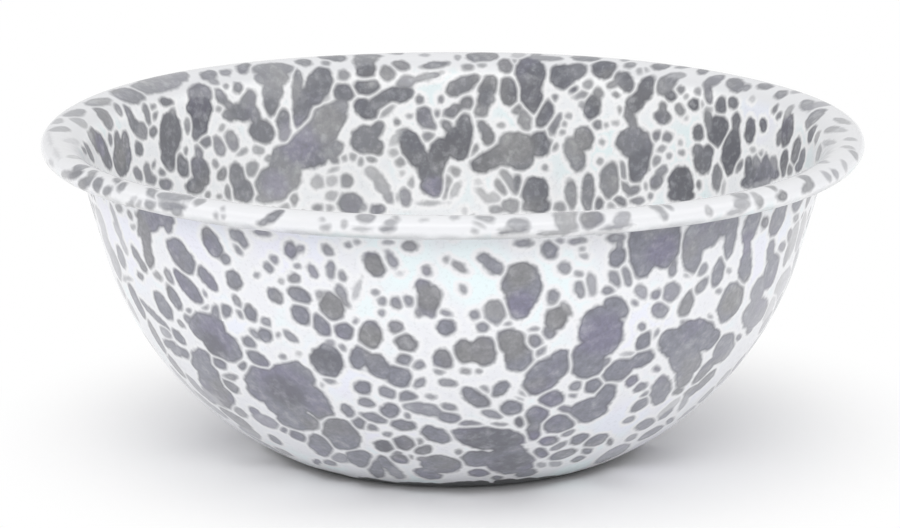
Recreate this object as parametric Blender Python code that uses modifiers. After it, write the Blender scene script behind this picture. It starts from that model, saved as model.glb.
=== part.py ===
"""Cereal bowl of enamelled steel: one pressed sheet with a rolled rim, coated on both faces.

The bowl is turned about Z. Each face of the sheet carries a thin ground coat and a thicker cover coat of
enamel. Every layer follows the centre line of the sheet: from the middle of the base, round the corner,
up the round wall, out through the flared neck and round the rolled rim to the tucked edge.
Units are metres, +Z is up, and the origin is the middle of the underside.
"""

import math

import bpy

# Overall sizes, over the enamel
RIM_DIAMETER = 0.152
HEIGHT = 0.0605
BASE_DIAMETER = 0.060  # the flat underside, inside the rounded corner
BASE_CORNER_RADIUS = 0.005

# Wall and rim, over the enamel
WALL_LEAN = math.radians(15.5)  # the upper wall's lean away from the vertical
WALL_STRAIGHT = 0.0175  # the straight upper part of the wall, below the neck
RIM_OVERHANG = 0.0067  # from the wall at the neck to the outermost point of the roll
ROLL_HEIGHT = 0.0042
ROLL_TURN = math.radians(235)  # from the top of the roll, over and under, to the tucked edge

# Layers
SHEET_THICKNESS = 0.00055
GROUND_THICKNESS = 0.00010
COVER_THICKNESS = 0.00015
LAYER_GAP = 0.00005

# Facets
TURN_STEPS = 40
CORNER_FACETS = 2
WALL_FACETS = 6
NECK_FACETS = 3
ROLL_FACETS = 8
MERGE_DISTANCE = 0.00001

# Distances from the middle of the sheet to the faces of each layer
SHEET_FACE = SHEET_THICKNESS / 2
GROUND_LOW = SHEET_FACE + LAYER_GAP
GROUND_HIGH = GROUND_LOW + GROUND_THICKNESS
COVER_LOW = GROUND_HIGH + LAYER_GAP
COVER_HIGH = COVER_LOW + COVER_THICKNESS

# Colour, roughness and metallic value of each layer
STEEL_FINISH = ((0.42, 0.42, 0.43, 1.0), 0.45, 1.0)
GROUND_FINISH = ((0.03, 0.035, 0.06, 1.0), 0.35, 0.0)
COVER_FINISH = ((0.80, 0.81, 0.85, 1.0), 0.12, 0.0)


def clear_scene():
    for obj in list(bpy.data.objects):
        bpy.data.objects.remove(obj)


def headings(first, last, facets):
    """Headings at the ends of equal facets, without the first, which the stretch before it holds."""
    return [first + (last - first) * i / facets for i in range(1, facets + 1)]


def left_turn(centre, radius, heading):
    """A point on an arc that turns towards the inside of the bowl."""
    return (centre[0] + radius * math.sin(heading), centre[1] - radius * math.cos(heading), heading)


def right_turn(centre, radius, heading):
    """A point on an arc that turns towards the outside of the bowl."""
    return (centre[0] - radius * math.sin(heading), centre[1] + radius * math.cos(heading), heading)


def wall_arc(corner_centre, corner_radius, shoulder, heading):
    """Centre, radius and first heading of the arc that leaves the corner and ends at the shoulder."""
    across = shoulder[0] - corner_centre[0]
    up = shoulder[1] - corner_centre[1]
    inward = -math.sin(heading) * across + math.cos(heading) * up
    radius = (corner_radius**2 - across**2 - up**2) / (2 * (inward + corner_radius))
    centre = (shoulder[0] - radius * math.sin(heading), shoulder[1] + radius * math.cos(heading))
    foot = math.atan2(corner_centre[0] - centre[0], centre[1] - corner_centre[1])
    return centre, radius, foot


def centre_line():
    """Stations (radius, height, heading) along the middle of the sheet, from the axis to the tucked edge.

    The heading is the direction of travel above the horizontal, with the inside of the bowl on its left.
    """
    lean = math.pi / 2 - WALL_LEAN
    roll_centre = (RIM_DIAMETER / 2 - ROLL_HEIGHT / 2, HEIGHT - ROLL_HEIGHT / 2)
    roll_radius = ROLL_HEIGHT / 2 - COVER_HIGH

    neck_r = RIM_DIAMETER / 2 - RIM_OVERHANG - COVER_HIGH * math.sin(lean)
    neck_radius = (roll_centre[0] - neck_r) / math.sin(lean)
    neck_centre = (roll_centre[0], HEIGHT - COVER_HIGH - neck_radius)
    neck_z = neck_centre[1] + neck_radius * math.cos(lean)
    shoulder = (neck_r - WALL_STRAIGHT * math.cos(lean), neck_z - WALL_STRAIGHT * math.sin(lean))

    corner_centre = (BASE_DIAMETER / 2, BASE_CORNER_RADIUS)
    corner_radius = BASE_CORNER_RADIUS - COVER_HIGH
    wall_centre, wall_radius, foot = wall_arc(corner_centre, corner_radius, shoulder, lean)

    stations = [(0.0, COVER_HIGH, 0.0), left_turn(corner_centre, corner_radius, 0.0)]
    stations += [left_turn(corner_centre, corner_radius, h) for h in headings(0.0, foot, CORNER_FACETS)]
    stations += [left_turn(wall_centre, wall_radius, h) for h in headings(foot, lean, WALL_FACETS)]
    stations += [(neck_r, neck_z, lean)]
    stations += [right_turn(neck_centre, neck_radius, h) for h in headings(lean, 0.0, NECK_FACETS)]
    stations += [right_turn(roll_centre, roll_radius, h) for h in headings(0.0, -ROLL_TURN, ROLL_FACETS)]
    return stations


def face(stations, distance):
    """The centre line moved sideways by a distance, towards the inside of the bowl where it is positive."""
    return [(r - distance * math.sin(h), 0.0, z + distance * math.cos(h)) for r, z, h in stations]


def make_material(name, finish):
    colour, roughness, metallic = finish
    material = bpy.data.materials.new(name)
    material.use_nodes = True
    shader = material.node_tree.nodes["Principled BSDF"]
    shader.inputs["Base Color"].default_value = colour
    shader.inputs["Roughness"].default_value = roughness
    shader.inputs["Metallic"].default_value = metallic
    return material


def make_layer(name, stations, low, high, finish, collection, axis):
    """A layer of the wall between two distances from the middle of the sheet, turned about Z."""
    profile = face(stations, high) + face(stations, low)[::-1]
    edges = [(i, i + 1) for i in range(len(profile) - 1)]
    mesh = bpy.data.meshes.new(name)
    mesh.from_pydata(profile, edges, [])
    mesh.materials.append(make_material(name, finish))
    layer = bpy.data.objects.new(name, mesh)
    collection.objects.link(layer)
    layer.parent = axis
    turn = layer.modifiers.new("Turn", "SCREW")
    turn.axis = "Z"
    turn.angle = math.tau
    turn.steps = TURN_STEPS
    turn.render_steps = TURN_STEPS
    turn.use_merge_vertices = True
    turn.merge_threshold = MERGE_DISTANCE
    turn.use_smooth_shade = True


def main():
    clear_scene()
    collection = bpy.data.collections.new("cereal_bowl")
    bpy.context.scene.collection.children.link(collection)
    axis = bpy.data.objects.new("bowl_axis", None)
    collection.objects.link(axis)

    stations = centre_line()
    layers = (
        ("steel_shell", -SHEET_FACE, SHEET_FACE, STEEL_FINISH),
        ("ground_coat_inside", GROUND_LOW, GROUND_HIGH, GROUND_FINISH),
        ("ground_coat_outside", -GROUND_HIGH, -GROUND_LOW, GROUND_FINISH),
        ("cover_coat_inside", COVER_LOW, COVER_HIGH, COVER_FINISH),
        ("cover_coat_outside", -COVER_HIGH, -COVER_LOW, COVER_FINISH),
    )
    for name, low, high, finish in layers:
        make_layer(name, stations, low, high, finish, collection, axis)


main()
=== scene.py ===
"""Looks of the cereal bowl: smooth enamel layers with grey splatter, on a pale floor in soft studio light."""

import math
from collections import namedtuple

import bpy
import numpy as np
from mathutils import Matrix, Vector
from mathutils.bvhtree import BVHTree
from mathutils.kdtree import KDTree


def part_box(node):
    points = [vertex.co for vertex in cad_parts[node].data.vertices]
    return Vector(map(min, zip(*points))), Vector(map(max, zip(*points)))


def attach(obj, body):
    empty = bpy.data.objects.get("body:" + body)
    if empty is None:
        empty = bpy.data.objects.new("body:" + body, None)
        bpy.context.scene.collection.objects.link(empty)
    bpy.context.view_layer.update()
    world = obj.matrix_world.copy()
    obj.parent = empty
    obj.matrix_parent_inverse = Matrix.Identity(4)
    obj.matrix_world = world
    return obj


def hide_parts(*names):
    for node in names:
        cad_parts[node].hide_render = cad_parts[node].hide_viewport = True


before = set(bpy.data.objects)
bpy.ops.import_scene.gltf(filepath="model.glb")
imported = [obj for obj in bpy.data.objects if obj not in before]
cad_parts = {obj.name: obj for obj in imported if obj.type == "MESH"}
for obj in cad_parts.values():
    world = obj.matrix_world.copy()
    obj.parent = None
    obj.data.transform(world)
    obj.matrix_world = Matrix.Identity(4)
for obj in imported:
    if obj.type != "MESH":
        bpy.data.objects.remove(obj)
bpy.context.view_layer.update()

# Lengths are in metres, and the tiny one only keeps a division from zero
MM = 0.001
TINY = 1e-9

# Sizes of the bowl, over the enamel: the outer ones come from the frame, the others repeat the part's own
rim_low, rim_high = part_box("cover_coat_inside")
RIM_DIAMETER = rim_high[0] - rim_low[0]
HEIGHT = rim_high[2]
BASE_DIAMETER = 60 * MM
BASE_CORNER_RADIUS = 5 * MM
WALL_LEAN = math.radians(15.5)
WALL_STRAIGHT = 17.5 * MM
RIM_OVERHANG = 6.7 * MM
ROLL_HEIGHT = 4.2 * MM
ROLL_TURN = math.radians(235)

# Distances from the middle of the sheet to the faces of each layer
SHEET_FACE = 0.275 * MM
GROUND_LOW = 0.325 * MM
GROUND_HIGH = 0.425 * MM
COVER_LOW = 0.475 * MM
COVER_HIGH = 0.625 * MM

# Fineness of the turned meshes: steps around, spacing along the profile, and least facets of its tight curves
FINE_STEPS = 360
FINE_SPACING = 1.1 * MM
HIDDEN_STEPS = 120
HIDDEN_SPACING = 2.4 * MM
CORNER_FACETS = 4
NECK_FACETS = 8
ROLL_FACETS = 18
CAP_FACETS = 6
CAP_TURN = math.radians(168)

# Unevenness of a hand-dipped bowl: an oval wall, and rim waves with their count around, share and phase
OVAL_WAVE = 0.12 * MM
OVAL_PHASE = 0.7
RIM_WAVE = 0.16 * MM
RIM_WAVES = ((3, 1.0, 0.4), (5, 0.6, 1.9))

# The camera, fitted to the outline of the bowl in the photo of 900 by 528 pixels
PHOTO_WIDTH = 900
PHOTO_HEIGHT = 528
SENSOR_WIDTH = 36.0
FOCAL_PIXELS = 5370
CAMERA_DISTANCE = 1.0
CAMERA_NEAREST = 50 * MM
CAMERA_ELEVATION = math.radians(13.36)
CAMERA_AIM = Vector((-0.48 * MM, 0.0, 34.4 * MM))
CAMERA_FORWARD = Vector((0.0, math.cos(CAMERA_ELEVATION), -math.sin(CAMERA_ELEVATION)))
CAMERA_UP = Vector((0.0, math.sin(CAMERA_ELEVATION), math.cos(CAMERA_ELEVATION)))
CAMERA_RIGHT = Vector((1.0, 0.0, 0.0))
CAMERA_PLACE = CAMERA_AIM - CAMERA_DISTANCE * CAMERA_FORWARD

# Room for the drops of a piece, and the longest reach of a drop towards another
MOST_DROPS = 8000
MOST_REACH = 8 * MM

# Drops that a face can know of, how far beyond its edge a drop matters, and what stands for a missing drop
DROPS_KNOWN = 6
VECTOR_PARTS = 3
DROP_MARGIN = 1.6 * MM
NO_DROP = (9.0, 9.0, 1.0)

# Drops laid from the photo onto the bowl: share of an axis looked up, most slant, most bend, sight margin
AXIS_SHARE = 0.7
MOST_SLANT = 4.5
MOST_BEND = 1.8
SIGHT_MARGIN = 0.5 * MM

# Tone of a drop: the share of grey in the narrowest one, and the gain for each metre of width
SMALL_DROP_TONE = 0.72
TONE_PER_WIDTH = 85.0

# Share of their reach by which joined drops overlap, and lengths in millimetres at the edges of drops
JOIN_SHARE = 0.3
JOIN_ROUNDING = 0.8
JOIN_BLEND = 1.2
VEIN_HALF_WIDTH = 0.20
CORNER_ROUNDING = 0.5
DROP_SPREAD = 0.13
EDGE_SOFTNESS = 0.50
EDGE_RAGGEDNESS = 0.9
FAR_AWAY = 20.0

# Seed of the random drops and streaks
SEED = 20

# Random drops, large to small: tries, least and most half width in mm, most stretch, lobes, gap in mm
FILL_SIZES = (
    (220, 2.6, 4.4, 1.8, 4, 0.35),
    (800, 1.7, 2.9, 2.0, 2, 0.3),
    (2600, 1.0, 1.7, 2.2, 1, 0.25),
    (5000, 0.45, 0.95, 1.9, 1, 0.25),
)

# Lobes of a random drop, in half widths: spread, widths, cosine of most bend, turn in radians, and tones
LOBE_SPREAD_ALONG = 1.0
LOBE_SPREAD_AROUND = 0.7
LOBE_WIDTHS = (0.75, 1.0)
LOBE_FACING = 0.5
LOBE_TURN = 0.45
LOBE_TONES = (0.88, 1.0)

# Random streaks on the rim, with half widths in mm, and the mean and the spread of their turn in radians
STREAK_TRIES = 900
STREAK_DEPTH = 3.6 * MM
STREAK_HALF_WIDTHS = (0.4, 1.3)
STREAK_STRETCH = (1.2, 3.0)
STREAK_TURN = (0.3, 0.35)
STREAK_TONES = (0.4, 0.9)
STREAK_GAP = 0.4 * MM

# Drops read off the photo: place, length and width in pixels, tilt in degrees clockwise, own strength
DROPS_LEFT = (
    (154, 217, 38, 18, 12), (153, 226, 14, 14, 0), (141, 227, 20, 8, 95), (146, 237, 22, 9, 80),
    (168, 226, 14, 8, 75), (149, 257, 24, 9, 74), (181, 256, 43, 18, 55), (212, 243, 34, 16, 60),
    (225, 259, 13, 9, 50), (207, 278, 32, 11, 51), (188, 287, 43, 13, 51), (234, 280, 21, 13, 60),
    (169, 276, 18, 6, 65), (158, 276, 12, 6, 50, 0.85), (137, 256, 24, 5, 62), (143, 266, 15, 6, 60),
    (140, 276, 9, 5, 50), (130, 215, 10, 4, 65), (119, 208, 10, 6, 60, 0.85), (118, 231, 20, 4, 65, 0.65),
    (115, 263, 36, 6, 70, 0.75), (121, 257, 24, 6, 72, 0.85), (126, 279, 10, 5, 10, 0.75),
    (136, 300, 44, 5, 65), (163, 306, 33, 11, 58), (174, 297, 30, 9, 62), (205, 294, 7, 4, 60),
    (237, 301, 16, 7, 55), (134, 227, 5, 5, 0, 0.85), (154, 315, 46, 5, 46), (166, 333, 18, 7, 55, 0.8),
    (170, 344, 14, 9, 40), (178, 351, 18, 9, 35), (185, 354, 14, 7, 45), (179, 337, 20, 7, 50),
    (181, 324, 10, 4, 45), (188, 319, 12, 6, 60), (189, 311, 6, 5, 40), (206, 308, 6, 5, 0),
    (216, 312, 15, 10, 85), (225, 311, 14, 11, 70), (206, 328, 38, 28, 30), (222, 346, 46, 26, 35),
    (201, 361, 24, 20, 45), (207, 372, 22, 16, 50), (219, 363, 18, 10, 35), (243, 366, 10, 9, 45),
    (230, 377, 14, 7, 5), (231, 386, 22, 8, 40), (226, 396, 22, 8, 38), (212, 389, 18, 10, 45),
    (208, 397, 24, 4, 40, 0.85), (183, 381, 40, 5, 48, 0.6), (249, 343, 17, 10, 42), (255, 334, 13, 6, 45),
    (265, 335, 17, 13, 35), (258, 359, 26, 12, 38), (278, 335, 5, 5, 0), (240, 412, 18, 6, 35, 0.85),
    (255, 412, 14, 6, 35), (239, 420, 30, 5, 33, 0.95), (250, 432, 26, 6, 30, 0.75), (275, 440, 16, 5, 35),
    (262, 386, 42, 30, 55), (290, 384, 50, 42, 40), (314, 402, 48, 25, 42), (285, 406, 46, 24, 20),
    (297, 421, 44, 18, 12), (266, 421, 30, 10, 25, 0.85), (101, 222, 36, 5, 72, 0.6),
    (107, 244, 28, 5, 70, 0.65), (122, 290, 24, 5, 66, 0.65), (132, 309, 28, 5, 62, 0.65),
    (157, 338, 44, 4, 61, 0.95), (116, 222, 42, 3, 72, 0.8), (124, 246, 20, 4, 68, 0.65),
    (175, 365, 34, 4, 52, 0.9), (206, 402, 34, 5, 42, 0.65), (218, 411, 26, 5, 38, 0.7),
    (214, 398, 34, 5, 42, 0.7), (196, 386, 30, 4, 48, 0.8), (238, 421, 50, 5, 36, 0.9),
    # The drop at (268, 446) is painted shade along the bottom edge
    (268, 446, 46, 5, 29, 0.75), (152, 346, 30, 5, 58, 0.6), (284, 452, 20, 5, 26, 0.8),
    (145, 224, 20, 14, 90), (147, 244, 20, 8, 80),
)
DROPS_FRONT_LEFT = (
    (211, 383, 36, 20, 62), (224, 398, 28, 15, 48), (241, 239, 22, 10, 62), (234, 235, 16, 7, 62),
    (238, 249, 13, 6, 55), (262, 233, 17, 6, 12), (291, 251, 19, 13, 70), (300, 249, 9, 8, 0),
    (328, 250, 13, 9, 50), (348, 245, 6, 6, 0), (357, 242, 6, 4, 0, 0.95), (274, 260, 11, 7, 55),
    (269, 267, 12, 9, 45), (257, 275, 5, 5, 0), (281, 281, 5, 6, 0, 0.85), (297, 266, 6, 5, 0),
    (313, 271, 18, 8, 58), (331, 270, 20, 10, 85), (342, 276, 12, 8, 50), (374, 265, 26, 19, 60),
    (294, 278, 12, 11, 0), (275, 295, 19, 12, 52), (299, 295, 27, 14, 30), (301, 315, 25, 17, 48),
    (321, 325, 26, 16, 50), (332, 307, 30, 24, 60), (341, 292, 16, 10, 60), (320, 295, 9, 8, 0, 0.9),
    (357, 290, 20, 7, -70, 0.65), (345, 301, 15, 7, 55), (376, 293, 8, 6, 20), (344, 331, 20, 17, 30),
    (355, 322, 6, 5, 0), (250, 313, 19, 12, 55), (240, 314, 10, 6, 55), (266, 322, 12, 8, 40),
    (291, 337, 18, 7, 38), (283, 357, 7, 5, 20), (299, 354, 5, 4, 0, 0.65), (307, 372, 10, 6, 45),
    (327, 361, 36, 31, 48), (331, 343, 10, 6, 30, 0.9), (342, 348, 9, 6, 50), (330, 381, 12, 5, 15),
    (322, 386, 4, 4, 0, 0.75), (370, 335, 28, 25, 90), (360, 357, 26, 20, 100), (378, 367, 30, 22, 50),
    (399, 377, 28, 22, 20), (363, 388, 17, 13, 10), (388, 393, 18, 10, 25), (366, 402, 16, 9, 20),
    (348, 411, 18, 10, 45), (359, 423, 16, 11, 30), (374, 418, 28, 9, 15), (371, 427, 13, 7, 15),
    (390, 411, 21, 15, 5), (407, 397, 18, 11, 0), (404, 360, 17, 13, 0), (418, 365, 14, 9, 0),
    (403, 425, 26, 11, 8), (388, 434, 8, 5, 0), (341, 435, 46, 28, 30), (284, 430, 10, 5, 20),
    (298, 436, 20, 8, 25), (320, 445, 28, 19, 35), (323, 451, 18, 11, 20), (359, 459, 28, 16, 14),
    (340, 458, 18, 9, 14, 0.85), (330, 463, 14, 5, 15, 0.95), (317, 462, 8, 5, 20), (384, 446, 19, 12, 15),
    (397, 453, 9, 4, 0), (400, 459, 18, 9, 8), (386, 464, 22, 10, 40), (377, 470, 18, 14, 60),
    (396, 473, 20, 9, 30, 0.85),
)
DROPS_FRONT_MIDDLE = (
    (388, 242, 10, 4, 0), (410, 246, 15, 11, 0), (391, 259, 20, 9, 65), (427, 271, 11, 10, 90),
    (447, 260, 6, 6, 0, 0.95), (459, 267, 20, 8, 35), (463, 289, 10, 7, 60, 0.95), (485, 259, 17, 12, 30),
    (494, 267, 22, 14, 35), (400, 273, 5, 3, 0, 0.55), (382, 301, 10, 9, 45), (396, 303, 14, 11, 40),
    (409, 301, 14, 10, 30), (424, 288, 18, 16, 45), (436, 293, 17, 12, 60), (428, 304, 26, 22, 30),
    (428, 296, 18, 16, 0), (418, 313, 7, 8, 0), (432, 313, 10, 10, 0), (445, 313, 14, 7, 20),
    (446, 327, 19, 18, 0), (475, 315, 11, 10, 0), (483, 327, 14, 11, 0), (495, 312, 24, 24, 0, 0.88),
    (508, 324, 6, 4, 0), (522, 286, 50, 39, 88), (519, 304, 30, 27, 90), (382, 313, 7, 6, 0),
    (396, 328, 16, 14, 40), (406, 343, 25, 17, 30), (443, 359, 22, 20, 30), (439, 371, 12, 6, 5),
    (465, 371, 10, 6, 0), (479, 371, 6, 4, 0), (465, 352, 24, 24, 0), (483, 352, 28, 29, 0),
    (448, 383, 19, 8, 10), (419, 383, 14, 9, -35), (431, 397, 12, 5, 5, 0.95), (476, 398, 32, 15, 28),
    (500, 390, 22, 13, -40), (485, 389, 10, 5, 30), (523, 393, 8, 5, 25), (511, 408, 24, 16, -10),
    (492, 414, 22, 8, 15), (449, 408, 16, 8, 8), (424, 409, 42, 13, 10, 0.9), (449, 417, 24, 11, 15),
    (408, 416, 6, 7, 0), (436, 435, 32, 15, 20), (470, 424, 24, 7, 3), (500, 424, 14, 4, 5, 0.95),
    (520, 422, 11, 10, 0), (536, 416, 24, 19, -25), (533, 432, 15, 17, 0), (490, 439, 76, 23, 4),
    (404, 443, 22, 14, 10), (420, 442, 6, 7, 0), (423, 450, 17, 10, -5), (411, 457, 5, 4, 0),
    (422, 459, 12, 5, 5), (441, 465, 42, 18, 5), (428, 474, 28, 10, 12), (479, 473, 22, 8, 0),
    (478, 459, 36, 16, 0), (459, 452, 6, 5, 0), (510, 462, 50, 27, 0), (526, 473, 22, 7, -12),
    (497, 478, 10, 4, 0), (510, 451, 34, 15, 0), (535, 425, 16, 13, 90), (520, 399, 8, 3, 20, 0.8),
)
DROPS_FRONT_RIGHT = (
    (524, 243, 18, 8, -5), (550, 250, 19, 16, 90), (559, 241, 10, 5, 0), (577, 241, 18, 7, -5),
    (582, 249, 6, 6, 0, 0.85), (584, 256, 9, 6, 20, 0.85), (564, 268, 13, 12, 0, 0.9),
    (579, 274, 9, 6, 20, 0.95), (580, 289, 17, 11, 75), (591, 285, 23, 11, 80, 0.84),
    (617, 238, 20, 10, -5), (618, 257, 22, 16, -65), (619, 245, 13, 7, 90), (615, 279, 18, 11, 60),
    (627, 276, 20, 10, 75), (608, 291, 13, 10, -15), (641, 292, 16, 13, 60, 0.85), (656, 294, 12, 9, -40),
    (635, 303, 8, 6, 50), (660, 310, 17, 17, 0, 0.88), (642, 327, 8, 8, 0), (644, 342, 24, 13, -55),
    (656, 334, 10, 4, -60), (642, 250, 56, 28, 84), (664, 242, 50, 38, 98), (673, 268, 20, 8, -75),
    (553, 298, 18, 12, 95), (556, 318, 27, 22, -60), (566, 309, 18, 8, 50), (549, 332, 14, 13, 0),
    (616, 307, 28, 20, 35), (534, 329, 10, 4, -5), (535, 341, 15, 14, 0), (511, 341, 30, 25, 0),
    (519, 357, 31, 30, 45), (602, 331, 52, 46, 95), (588, 360, 42, 34, -55), (606, 362, 10, 7, -40),
    (540, 352, 13, 7, -40), (543, 378, 46, 30, -40), (560, 364, 30, 22, -60), (552, 399, 26, 16, -10),
    (618, 371, 36, 20, -35), (642, 359, 28, 15, -30), (629, 354, 14, 5, -10, 0.75), (632, 381, 16, 9, -40),
    (641, 387, 15, 7, -35), (645, 394, 11, 4, -35), (657, 369, 7, 6, 0), (576, 386, 14, 9, -30),
    (594, 386, 20, 14, -30), (573, 396, 8, 5, 0), (606, 395, 28, 17, -55), (590, 410, 40, 22, -20),
    (567, 410, 19, 8, 10), (559, 424, 34, 18, -10), (549, 441, 20, 9, -12), (559, 446, 22, 5, -25),
    (568, 433, 14, 5, -25), (579, 439, 21, 10, -22), (596, 441, 26, 10, -22), (610, 442, 6, 7, 0),
    (541, 453, 14, 10, 0), (562, 455, 30, 8, -18), (578, 459, 14, 5, -20), (587, 451, 10, 7, -10),
    (530, 460, 8, 4, -10), (541, 465, 10, 5, 0, 0.75), (555, 464, 12, 5, 0, 0.75),
)
DROPS_RIGHT = (
    (692, 250, 46, 22, 95), (703, 234, 40, 30, -20), (722, 226, 34, 20, -18), (731, 236, 50, 11, -78),
    (718, 272, 30, 12, -75), (729, 271, 5, 5, 0, 0.85), (752, 224, 38, 15, -72), (747, 248, 24, 8, -85),
    (745, 268, 32, 13, -80), (765, 223, 13, 8, -70), (778, 219, 40, 12, -68), (771, 250, 26, 7, -80, 0.95),
    (782, 247, 12, 6, -70, 0.88), (771, 271, 38, 12, -72), (788, 252, 30, 4, -72, 0.85),
    (790, 235, 14, 4, -80, 0.95), (796, 218, 8, 5, -80, 0.85), (799, 240, 30, 4, -75, 0.65),
    (758, 291, 30, 12, -70, 0.9), (701, 286, 24, 9, -50), (687, 304, 30, 12, -66),
    (671, 292, 22, 17, -60, 0.93), (731, 301, 46, 21, -62), (719, 291, 6, 5, 0), (703, 269, 14, 7, -60),
    (687, 275, 6, 5, 0), (756, 313, 36, 19, -60, 0.92), (710, 317, 5, 5, 0), (749, 331, 8, 4, -45),
    (683, 322, 6, 6, 0), (674, 343, 32, 27, -50, 1.08), (700, 336, 40, 34, 0, 1.1), (686, 359, 36, 32, -60),
    (724, 348, 36, 15, -58), (738, 338, 8, 5, -45), (705, 370, 36, 8, -48), (704, 382, 34, 6, -45),
    (678, 391, 11, 6, -30), (692, 391, 20, 7, -40, 0.95), (684, 402, 24, 5, -60, 0.75),
    (757, 340, 36, 5, -55, 0.75), (770, 309, 30, 5, -65, 0.45), (660, 391, 32, 20, -58),
    (640, 405, 23, 9, -35), (629, 420, 12, 5, -28), (646, 424, 21, 8, -28), (666, 413, 20, 6, -42),
    (631, 438, 13, 5, -30, 0.88), (651, 433, 28, 5, -30), (670, 421, 10, 4, -40), (667, 435, 9, 4, -30),
    (795, 262, 30, 6, -74, 0.8), (788, 284, 28, 6, -70, 0.8), (778, 303, 26, 6, -66, 0.8),
    (766, 322, 26, 6, -60, 0.8), (738, 364, 26, 6, -52, 0.8), (724, 378, 24, 6, -48, 0.65),
    (706, 396, 26, 6, -44, 0.75), (688, 412, 24, 5, -40, 0.7), (803, 226, 30, 4, -78, 0.6),
    (669, 408, 32, 5, -41, 0.5), (728, 352, 24, 5, -54, 0.9), (684, 377, 26, 14, -62),
    # (613, 454) and (604, 460) are grey streaks that also paint the shade of the wall's underside near the
    # foot
    (613, 454, 38, 11, -28, 0.95), (604, 460, 20, 5, -22), (783, 284, 36, 8, -66, 0.6),
    (793, 240, 40, 6, -75, 0.65),
)
DROPS_INSIDE_LEFT = (
    (105, 117, 28, 10, 52, 0.92), (118, 109, 15, 5, 60), (130, 115, 24, 7, 66), (135, 126, 20, 9, 65),
    (141, 131, 18, 13, 70, 0.88), (147, 114, 25, 6, 75), (153, 107, 5, 6, 0), (155, 116, 9, 5, -75),
    (153, 132, 11, 8, 90), (139, 148, 15, 8, 85), (166, 102, 16, 8, 15, 1.12), (172, 112, 11, 6, 90, 0.88),
    (170, 136, 50, 22, 90), (169, 158, 26, 15, 80), (182, 165, 26, 13, 70), (200, 93, 24, 20, 0, 0.95),
    (200, 107, 30, 25, 90, 1.14), (200, 122, 34, 18, 95, 1.08), (197, 133, 16, 10, 90),
    (188, 126, 15, 7, 90, 0.95), (205, 142, 14, 13, 0), (199, 152, 18, 8, 85), (200, 171, 30, 19, 75),
    (195, 186, 20, 17, 0), (186, 152, 9, 4, -80), (122, 157, 36, 18, 88), (117, 141, 18, 6, 86),
    (125, 141, 18, 8, 88), (96, 140, 28, 8, 70), (103, 150, 36, 10, 70), (107, 160, 20, 8, 68),
    (92, 138, 18, 5, 66, 0.85), (138, 174, 15, 8, 65, 0.9), (148, 172, 19, 8, 80, 0.9),
    (151, 180, 11, 10, 0), (153, 166, 9, 4, -70), (162, 173, 8, 6, 60), (171, 169, 6, 5, 0),
    (165, 184, 15, 12, 30, 0.93), (89, 152, 22, 4, 65, 0.9), (84, 150, 9, 5, 60, 0.85),
    (110, 139, 12, 4, 80), (238, 88, 11, 11, 0), (226, 86, 5, 5, 0), (221, 97, 20, 11, 60),
    (229, 106, 14, 9, 50, 0.95), (219, 109, 6, 6, 0, 0.9), (230, 115, 16, 12, 0), (241, 112, 26, 18, 10),
    (248, 100, 24, 15, -65, 0.9), (254, 114, 24, 11, 70), (262, 131, 27, 23, 40),
    (272, 69, 46, 13, 0, 0.82), (272, 78, 36, 16, 0, 0.84), (273, 90, 26, 21, 90, 0.88),
    (271, 105, 24, 15, 85), (283, 120, 22, 14, 88), (285, 134, 20, 12, 90, 0.88), (319, 86, 40, 26, -72),
    (303, 108, 40, 20, -80), (297, 88, 38, 10, 95), (344, 75, 12, 11, 0, 0.88), (344, 93, 22, 19, 0),
    (342, 104, 14, 11, 60, 0.9), (322, 127, 58, 36, -50, 0.9), (303, 152, 50, 34, 0, 0.98),
    (283, 161, 40, 28, -60, 0.92), (288, 178, 34, 26, -70, 0.88), (273, 183, 38, 38, 0, 0.9),
    (332, 150, 24, 18, -30, 0.85), (294, 199, 14, 8, 90, 0.95), (268, 198, 28, 10, 0, 0.95),
    (232, 141, 24, 13, 70, 0.85), (219, 146, 22, 11, 65, 0.88), (242, 152, 12, 6, -30, 0.9),
    (259, 150, 12, 9, 20, 0.8), (269, 158, 8, 7, 0, 0.9), (252, 169, 17, 12, -80, 0.82),
    (216, 165, 9, 6, 70, 0.9), (222, 174, 14, 10, -75), (237, 177, 28, 16, 80, 0.93),
    (244, 191, 24, 21, 60, 0.97), (228, 193, 15, 6, 80), (208, 195, 6, 5, 90), (219, 197, 5, 5, 0),
    (318, 182, 15, 14, 0, 0.65), (332, 181, 13, 12, 0, 0.55), (332, 196, 13, 10, 0, 0.7),
    (347, 181, 13, 15, 0, 0.85), (351, 203, 26, 22, 0, 0.9), (318, 208, 13, 7, 0),
    (222, 128, 8, 5, -60, 0.85), (335, 160, 10, 8, 0), (344, 158, 7, 6, 0, 0.85),
    (333, 170, 10, 4, -30, 0.8), (330, 208, 8, 7, 0, 0.8), (327, 99, 8, 7, -30, 0.5),
    (378, 104, 24, 12, -25),
)
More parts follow.
